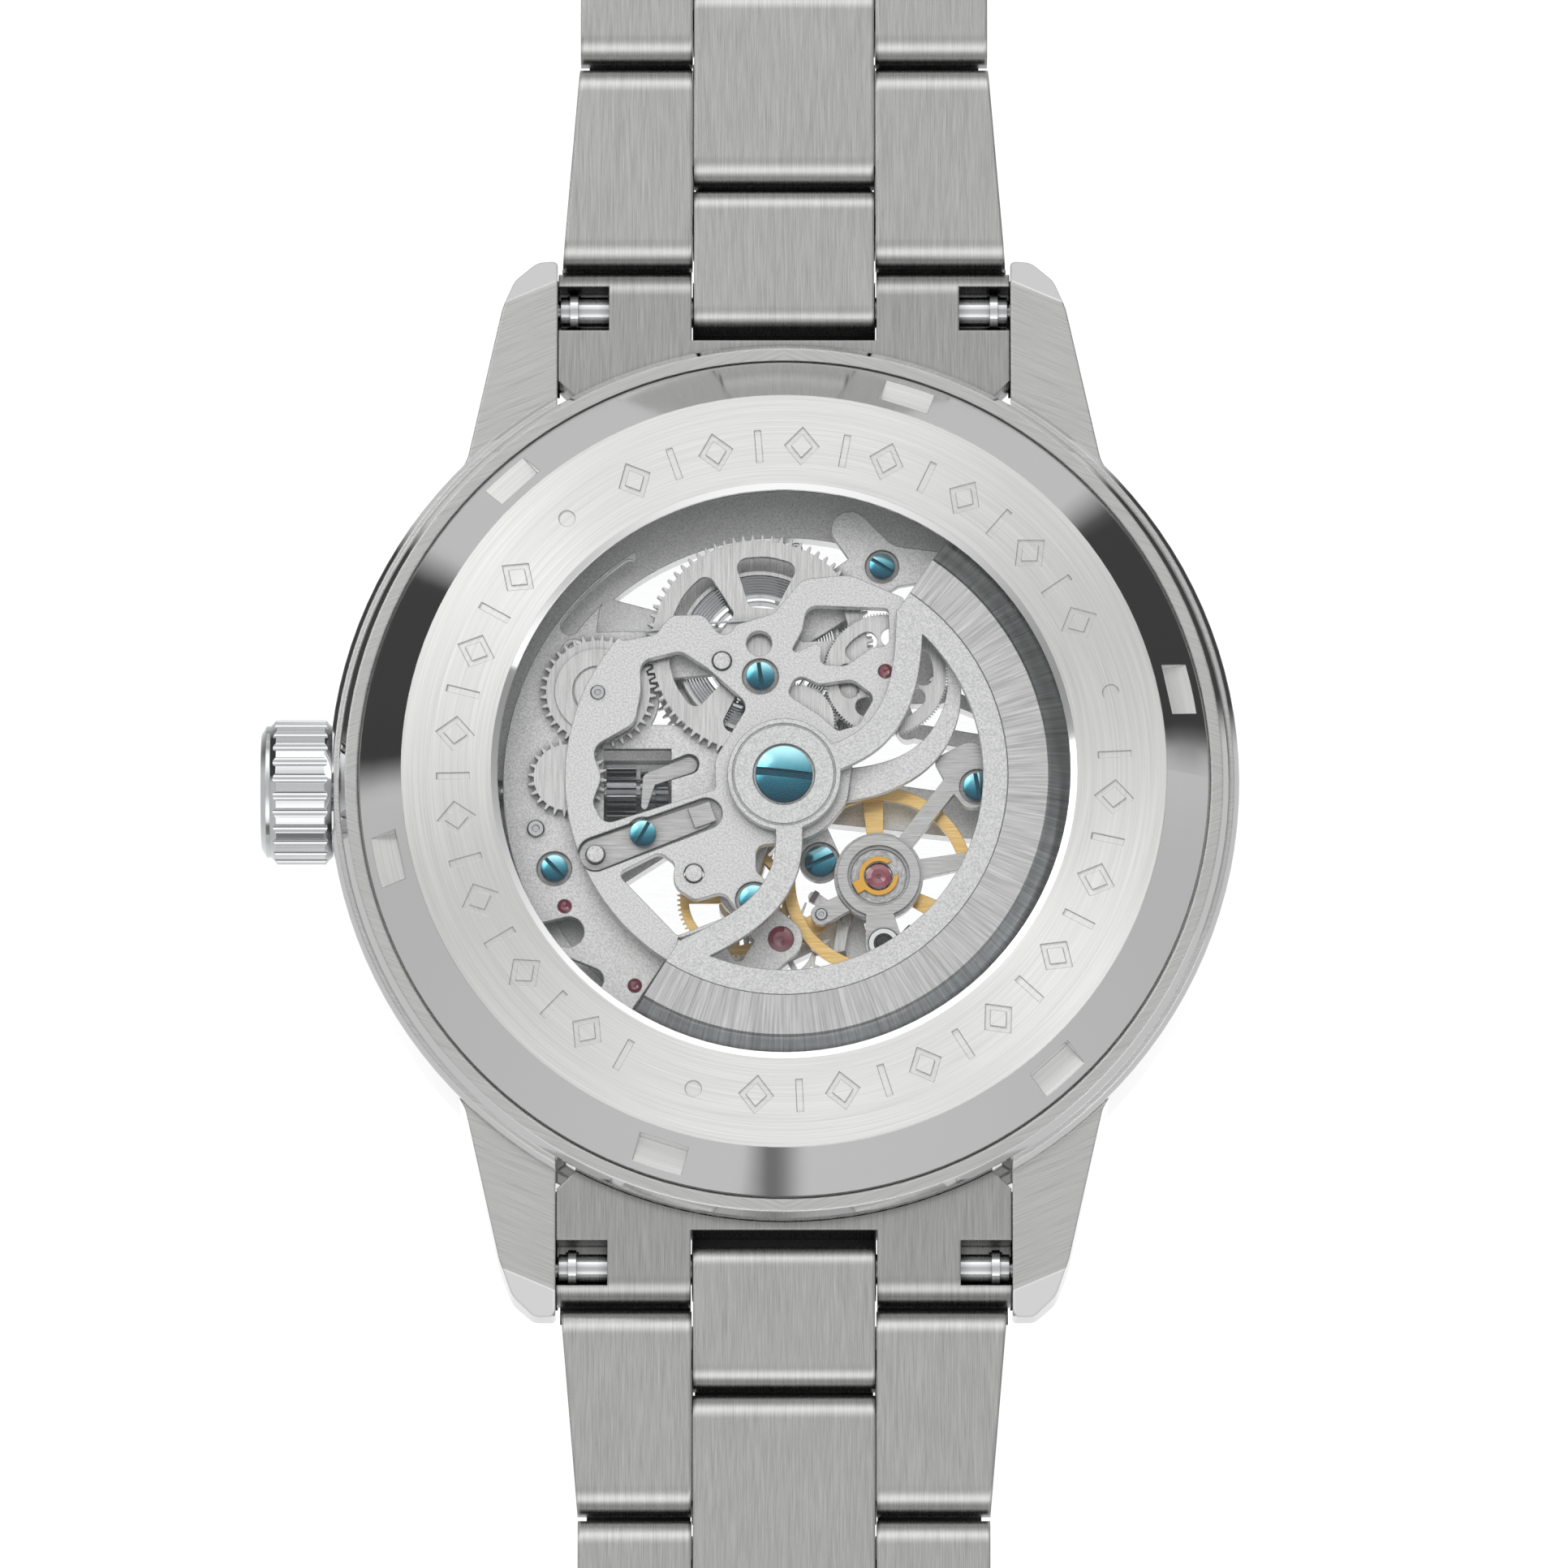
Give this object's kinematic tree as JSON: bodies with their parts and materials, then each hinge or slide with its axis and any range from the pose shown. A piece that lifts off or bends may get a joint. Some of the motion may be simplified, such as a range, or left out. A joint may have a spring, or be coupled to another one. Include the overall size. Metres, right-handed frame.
{
  "type": "skeleton automatic wristwatch",
  "caption": "Round steel wristwatch with an openworked self-winding movement, glazed screwed case back, fluted crown and hinged link bracelet with folding clasp.",
  "frame": {"origin": "centre of the front crystal's outer face, on which the watch lies", "axes": "+Z out of the case back, towards the wrist; +Y towards 12 o'clock; the crown points to -X"},
  "size_m": [0.0473, 0.1759, 0.012],
  "materials": {
    "case_steel": "brushed and polished",
    "bracelet_steel": "brushed",
    "bridge_grey": "grained",
    "wheel_steel": "fine brushed",
    "gilt_brass": "gilt",
    "blued_steel": "blued",
    "tungsten": "radially brushed",
    "sapphire": "polished",
    "ruby": "polished",
    "dark_dial": "matte",
    "nitrile": "matte"
  },
  "bodies": {
    "case": {"mid_case": "case_steel", "bezel": "case_steel", "crystal": "sapphire", "gaskets": "nitrile", "chapter_ring": "dark_dial", "dial_ring": "dark_dial", "case_back": "case_steel", "back_glass": "sapphire", "crown_tube": "case_steel", "spring_bars": "bracelet_steel", "end_links": "bracelet_steel", "main_plate": "bridge_grey", "barrel_bridge": "bridge_grey", "train_bridge": "bridge_grey", "balance_cock": "bridge_grey", "regulator": "wheel_steel", "shock_setting": "gilt_brass", "jewels": "ruby", "automatic_bridge": "bridge_grey", "bridge_screws": "blued_steel", "click_spring": "wheel_steel", "setting_lever": "wheel_steel"},
    "rotor": {"rotor_plate": "bridge_grey", "rotor_weight": "tungsten", "rotor_screw": "blued_steel"},
    "reverser": {"reverser_wheel": "wheel_steel"},
    "auto_wheel": {"auto_wheel": "wheel_steel"},
    "stem": {"winding_pinions": "wheel_steel"},
    "crown": {"crown": "case_steel"},
    "crown_wheel": {"crown_wheel": "wheel_steel"},
    "idler": {"idler_wheel": "wheel_steel"},
    "ratchet": {"ratchet_wheel": "wheel_steel"},
    "centre": {"centre_wheel": "gilt_brass", "minute_hand": "wheel_steel"},
    "barrel": {"barrel_drum": "wheel_steel", "mainspring": "wheel_steel"},
    "third": {"third_wheel": "gilt_brass"},
    "fourth": {"fourth_wheel": "gilt_brass"},
    "escape": {"escape_wheel": "wheel_steel"},
    "seconds": {"second_hand": "wheel_steel"},
    "hour": {"hour_hand": "wheel_steel"},
    "minute_wheel": {"minute_wheel": "gilt_brass"},
    "pallet": {"pallet_fork": "wheel_steel"},
    "balance": {"balance_wheel": "gilt_brass", "hairspring": "wheel_steel"},
    "half_link_12": {"half_link_12": "bracelet_steel"},
    "link_12_1": {"link_12_1": "bracelet_steel"},
    "link_12_2": {"link_12_2": "bracelet_steel"},
    "link_12_3": {"link_12_3": "bracelet_steel"},
    "link_12_4": {"link_12_4": "bracelet_steel"},
    "link_12_5": {"link_12_5": "bracelet_steel"},
    "half_link_6": {"half_link_6": "bracelet_steel"},
    "link_6_1": {"link_6_1": "bracelet_steel"},
    "link_6_2": {"link_6_2": "bracelet_steel"},
    "link_6_3": {"link_6_3": "bracelet_steel"},
    "link_6_4": {"link_6_4": "bracelet_steel"},
    "link_6_5": {"link_6_5": "bracelet_steel"},
    "wing_6": {"clasp_wing_6": "bracelet_steel"},
    "blade": {"clasp_blade": "bracelet_steel"},
    "wing_12": {"clasp_wing_12": "bracelet_steel"}
  },
  "joints": [
    {"name": "rotor_spin", "type": "hinge", "parent": "case", "child": "rotor", "pos_m": [0, 0, 0.0105], "axis": [0, 0, 1], "continuous": true},
    {"name": "reverser_spin", "type": "hinge", "parent": "case", "child": "reverser", "pos_m": [0.00064, 0.00293, 0.009], "axis": [0, 0, 1], "continuous": true},
    {"name": "auto_wheel_spin", "type": "hinge", "parent": "case", "child": "auto_wheel", "pos_m": [0.0049, 0.00525, 0.009], "axis": [0, 0, 1], "continuous": true},
    {"name": "stem_turn", "type": "hinge", "parent": "case", "child": "stem", "pos_m": [-0.007, 0, 0.0063], "axis": [1, 0, 0], "continuous": true},
    {"name": "crown_pull", "type": "slide", "parent": "stem", "child": "crown", "axis": [-1, 0, 0], "range_m": [0, 0.0012]},
    {"name": "crown_wheel_spin", "type": "hinge", "parent": "case", "child": "crown_wheel", "pos_m": [-0.01048, 0.00025, 0.0085], "axis": [0, 0, 1], "continuous": true},
    {"name": "idler_spin", "type": "hinge", "parent": "case", "child": "idler", "pos_m": [-0.009, 0.0045, 0.0085], "axis": [0, 0, 1], "continuous": true},
    {"name": "ratchet_spin", "type": "hinge", "parent": "case", "child": "ratchet", "pos_m": [-0.0012, 0.0067, 0.0085], "axis": [0, 0, 1], "continuous": true},
    {"name": "centre_spin", "type": "hinge", "parent": "case", "child": "centre", "pos_m": [0, 0, 0.0065], "axis": [0, 0, 1], "continuous": true},
    {"name": "barrel_spin", "type": "hinge", "parent": "case", "child": "barrel", "pos_m": [-0.0012, 0.0067, 0.0065], "axis": [0, 0, 1], "continuous": true},
    {"name": "third_spin", "type": "hinge", "parent": "case", "child": "third", "pos_m": [-0.00159, -0.00254, 0.007], "axis": [0, 0, 1], "continuous": true},
    {"name": "fourth_spin", "type": "hinge", "parent": "case", "child": "fourth", "pos_m": [-0.00234, -0.00545, 0.007], "axis": [0, 0, 1], "continuous": true},
    {"name": "escape_spin", "type": "hinge", "parent": "case", "child": "escape", "pos_m": [-0.00015, -0.0076, 0.0063], "axis": [0, 0, 1], "continuous": true},
    {"name": "seconds_spin", "type": "hinge", "parent": "case", "child": "seconds", "pos_m": [0, 0, 0.002], "axis": [0, 0, 1], "continuous": true},
    {"name": "hour_spin", "type": "hinge", "parent": "case", "child": "hour", "pos_m": [0, 0, 0.0028], "axis": [0, 0, 1], "continuous": true},
    {"name": "minute_wheel_spin", "type": "hinge", "parent": "case", "child": "minute_wheel", "pos_m": [-0.00226, -0.00082, 0.004], "axis": [0, 0, 1], "continuous": true},
    {"name": "pallet_rock", "type": "hinge", "parent": "case", "child": "pallet", "pos_m": [0.0029, -0.00635, 0.0063], "axis": [0, 0, 1], "range_deg": [-4, 4]},
    {"name": "balance_swing", "type": "hinge", "parent": "case", "child": "balance", "pos_m": [0.00457, -0.00465, 0.0072], "axis": [0, 0, 1], "range_deg": [-150, 150], "stiffness_Nm_per_rad": 0.000001, "deforming": ["hairspring"]},
    {"name": "half_link_12_hinge", "type": "hinge", "parent": "case", "child": "half_link_12", "pos_m": [0, 0.0236, 0.0071], "axis": [1, 0, 0], "range_deg": [0, 20]},
    {"name": "link_12_1_hinge", "type": "hinge", "parent": "half_link_12", "child": "link_12_1", "pos_m": [0, 0.028, 0.0071], "axis": [1, 0, 0], "range_deg": [0, 20]},
    {"name": "link_12_2_hinge", "type": "hinge", "parent": "link_12_1", "child": "link_12_2", "pos_m": [0, 0.0382, 0.0071], "axis": [1, 0, 0], "range_deg": [0, 20]},
    {"name": "link_12_3_hinge", "type": "hinge", "parent": "link_12_2", "child": "link_12_3", "pos_m": [0, 0.0484, 0.0071], "axis": [1, 0, 0], "range_deg": [0, 20]},
    {"name": "link_12_4_hinge", "type": "hinge", "parent": "link_12_3", "child": "link_12_4", "pos_m": [0, 0.0586, 0.0071], "axis": [1, 0, 0], "range_deg": [0, 20]},
    {"name": "link_12_5_hinge", "type": "hinge", "parent": "link_12_4", "child": "link_12_5", "pos_m": [0, 0.0688, 0.0071], "axis": [1, 0, 0], "range_deg": [0, 20]},
    {"name": "half_link_6_hinge", "type": "hinge", "parent": "case", "child": "half_link_6", "pos_m": [0, -0.0236, 0.0071], "axis": [-1, 0, 0], "range_deg": [0, 20]},
    {"name": "link_6_1_hinge", "type": "hinge", "parent": "half_link_6", "child": "link_6_1", "pos_m": [0, -0.028, 0.0071], "axis": [-1, 0, 0], "range_deg": [0, 20]},
    {"name": "link_6_2_hinge", "type": "hinge", "parent": "link_6_1", "child": "link_6_2", "pos_m": [0, -0.0382, 0.0071], "axis": [-1, 0, 0], "range_deg": [0, 20]},
    {"name": "link_6_3_hinge", "type": "hinge", "parent": "link_6_2", "child": "link_6_3", "pos_m": [0, -0.0484, 0.0071], "axis": [-1, 0, 0], "range_deg": [0, 20]},
    {"name": "link_6_4_hinge", "type": "hinge", "parent": "link_6_3", "child": "link_6_4", "pos_m": [0, -0.0586, 0.0071], "axis": [-1, 0, 0], "range_deg": [0, 20]},
    {"name": "link_6_5_hinge", "type": "hinge", "parent": "link_6_4", "child": "link_6_5", "pos_m": [0, -0.0688, 0.0071], "axis": [-1, 0, 0], "range_deg": [0, 6]},
    {"name": "wing_6_hinge", "type": "hinge", "parent": "link_6_5", "child": "wing_6", "pos_m": [0, -0.079, 0.0071], "axis": [1, 0, 0], "range_deg": [0, 100]},
    {"name": "blade_hinge", "type": "hinge", "parent": "wing_6", "child": "blade", "pos_m": [0, -0.06675, 0.0094], "axis": [-1, 0, 0], "range_deg": [0, 150]},
    {"name": "wing_12_hinge", "type": "hinge", "parent": "blade", "child": "wing_12", "pos_m": [0, -0.09475, 0.0094], "axis": [-1, 0, 0], "range_deg": [0, 150]}
  ],
  "couplings": [
    {"joint": "reverser_spin", "follows": "rotor_spin", "ratio": -0.62162},
    {"joint": "auto_wheel_spin", "follows": "rotor_spin", "ratio": 0.38333},
    {"joint": "crown_wheel_spin", "follows": "stem_turn", "ratio": -0.75},
    {"joint": "idler_spin", "follows": "stem_turn", "ratio": 0.5},
    {"joint": "ratchet_spin", "follows": "stem_turn", "ratio": -0.25},
    {"joint": "third_spin", "follows": "fourth_spin", "ratio": -0.13333},
    {"joint": "centre_spin", "follows": "fourth_spin", "ratio": 0.016667},
    {"joint": "seconds_spin", "follows": "fourth_spin", "ratio": 1},
    {"joint": "escape_spin", "follows": "fourth_spin", "ratio": -9},
    {"joint": "barrel_spin", "follows": "fourth_spin", "ratio": -0.0041667},
    {"joint": "hour_spin", "follows": "fourth_spin", "ratio": 0.0013889},
    {"joint": "minute_wheel_spin", "follows": "fourth_spin", "ratio": -0.0055556}
  ]
}
